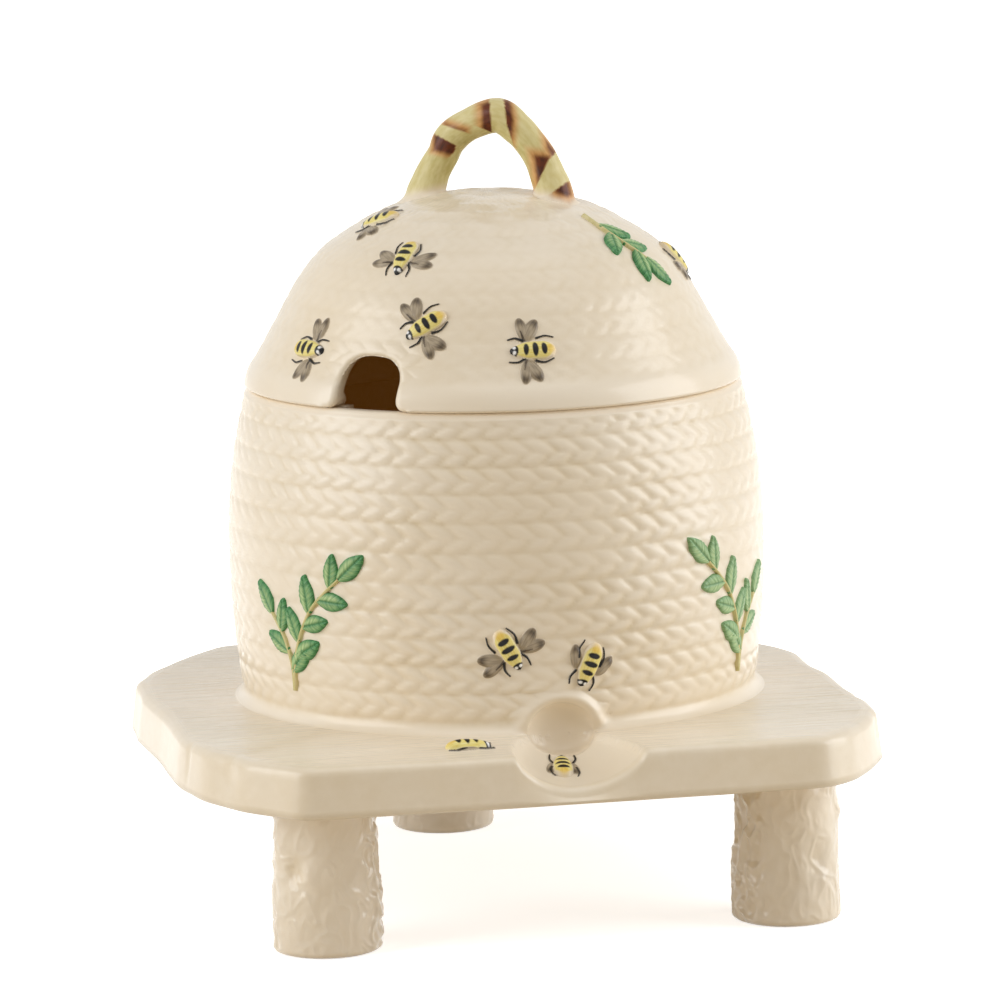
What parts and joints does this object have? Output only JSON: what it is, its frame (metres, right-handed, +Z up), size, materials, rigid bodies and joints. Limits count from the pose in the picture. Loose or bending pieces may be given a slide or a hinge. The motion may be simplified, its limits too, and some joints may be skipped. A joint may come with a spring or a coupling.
{
  "type": "honey pot",
  "caption": "China honey pot shaped like a coiled hive, fused to a three-legged slab, with a loose domed lid that has a twig handle and a spoon notch.",
  "frame": {"origin": "on the ground, at the middle of the slab's outline seen from above", "axes": "+Z up along the hive's axis, -Y towards the doorway side, +X to the right seen from the doorway side; the hive's axis stands at X 1.8 mm, Y 1.0 mm"},
  "size_m": [0.146, 0.152, 0.1654],
  "materials": {
    "cream_glaze": "thin parian china, cream, clear gloss glaze",
    "twig_glaze": "pale yellow-green with brown patches under a gloss glaze",
    "bee_enamel": "yellow, black and grey enamel brushed under a gloss glaze",
    "leaf_enamel": "green and olive enamel brushed under a gloss glaze"
  },
  "bodies": {
    "pot": {"hive_pot": "cream_glaze", "doorway_hood": "cream_glaze", "stand_slab": "cream_glaze", "leg_front_left": "cream_glaze", "leg_front_right": "cream_glaze", "leg_back": "cream_glaze", "bee_pot_left_of_door": "bee_enamel", "bee_pot_right_of_door": "bee_enamel", "bee_pot_back": "bee_enamel", "bee_stand": "bee_enamel", "bee_doorstep": "bee_enamel", "sprig_pot_left": "leaf_enamel", "sprig_pot_right": "leaf_enamel", "sprig_pot_back_left": "leaf_enamel", "sprig_pot_back_right": "leaf_enamel"},
    "lid": {"lid_dome": "cream_glaze", "lid_handle": "twig_glaze", "bee_lid_near_handle": "bee_enamel", "bee_lid_upper": "bee_enamel", "bee_lid_left": "bee_enamel", "bee_lid_above_notch": "bee_enamel", "bee_lid_front": "bee_enamel", "bee_lid_right": "bee_enamel", "bee_lid_back_left": "bee_enamel", "bee_lid_back_right": "bee_enamel", "sprig_lid_front": "leaf_enamel", "sprig_lid_back": "leaf_enamel"}
  },
  "joints": [
    {"name": "lid_lift", "type": "slide", "parent": "pot", "child": "lid", "axis": [0, 0, 1], "range_m": [0, 0.12]}
  ]
}
